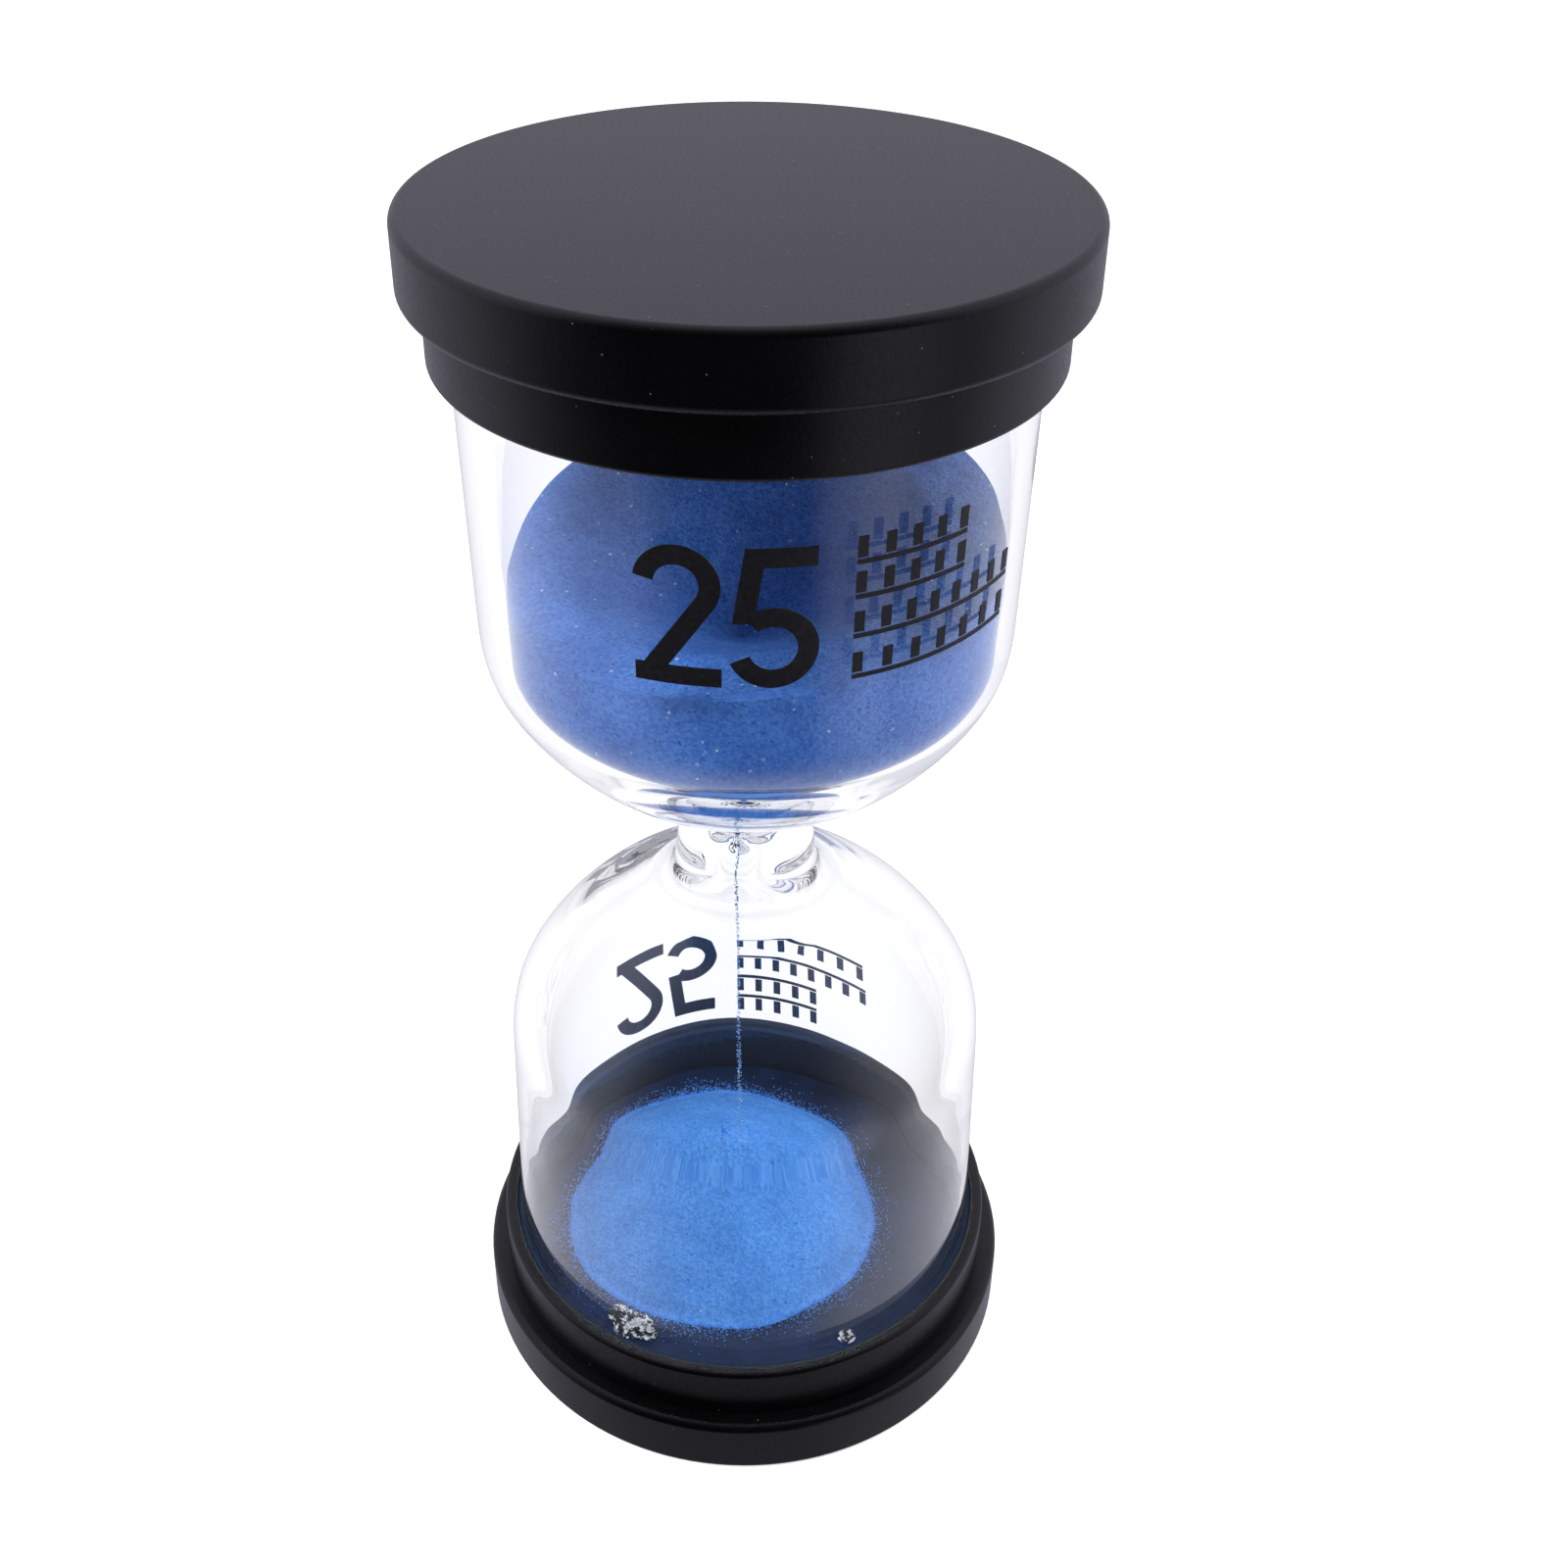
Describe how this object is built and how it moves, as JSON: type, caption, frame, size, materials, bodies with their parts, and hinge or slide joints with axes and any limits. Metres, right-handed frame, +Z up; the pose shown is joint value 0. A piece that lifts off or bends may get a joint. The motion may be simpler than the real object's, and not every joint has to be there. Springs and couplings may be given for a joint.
{
  "type": "hourglass",
  "caption": "Sand timer with two thick glass bulbs welded at the waist, blue sand, black round end caps and a printed minute mark.",
  "frame": {"origin": "centre of the end face it stands on", "axes": "+Z up along the axis of the bulbs; the upper mark faces -Y"},
  "size_m": [0.06, 0.06, 0.13],
  "materials": {
    "cap_plastic": "satin",
    "seal_rubber": "matte",
    "adhesive": "gloss",
    "bulb_glass": "clear polished",
    "blue_sand": "fine grain",
    "black_ink": "matte"
  },
  "bodies": {
    "root": {"lower_cap": "cap_plastic", "upper_cap": "cap_plastic", "lower_seal_disc": "seal_rubber", "upper_seal_disc": "seal_rubber", "lower_adhesive": "adhesive", "upper_adhesive": "adhesive", "glue_lumps": "adhesive", "lower_bulb": "bulb_glass", "upper_bulb": "bulb_glass", "upper_sand": "blue_sand", "sand_stream": "blue_sand", "lower_sand": "blue_sand", "upper_mark": "black_ink", "lower_mark": "black_ink"}
  },
  "joints": []
}
